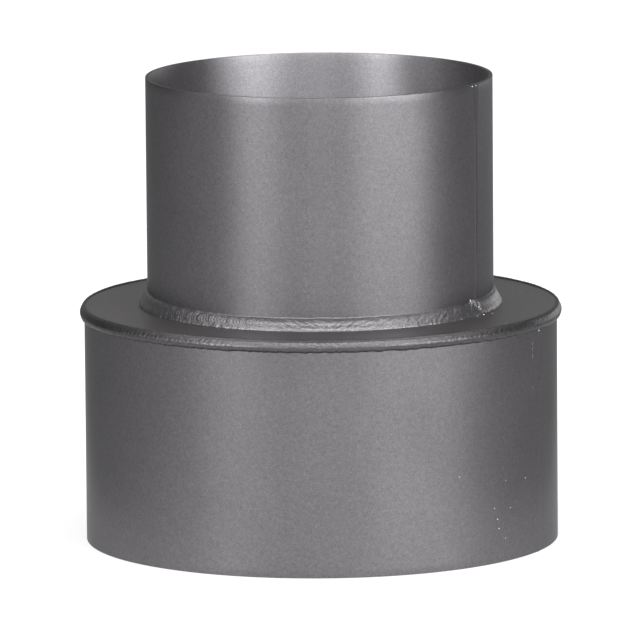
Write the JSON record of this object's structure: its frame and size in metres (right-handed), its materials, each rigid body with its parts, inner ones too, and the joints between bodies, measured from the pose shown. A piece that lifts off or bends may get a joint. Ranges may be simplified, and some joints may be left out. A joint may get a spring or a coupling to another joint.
{
  "type": "duct reducer",
  "caption": "Welded steel flue reducer: a smaller rolled spigot stands on a flat step ring above a larger rolled socket tube, open at both ends.",
  "frame": {"origin": "on the common axis, in the plane of the lower rim that the part stands on", "axes": "+Z along the axis from the large end to the small end; +X to the viewer's right as seen from the front, which is -Y"},
  "size_m": [0.2084, 0.2084, 0.201],
  "materials": {
    "grey_paint": "heat-resistant metallic grey paint, satin, fine flake grain",
    "ring_paint": "the same paint, drier and more matt on the flat ring",
    "seam_paint": "the same paint over a dressed butt weld",
    "weld_paint": "the same paint over a rippled weld bead, a little glossier"
  },
  "bodies": {
    "root": {"socket_tube": "grey_paint", "step_ring": "ring_paint", "spigot_tube": "grey_paint", "socket_seam_weld": "seam_paint", "spigot_seam_weld": "seam_paint", "spigot_fillet_weld": "weld_paint", "rim_corner_weld": "weld_paint"}
  },
  "joints": []
}
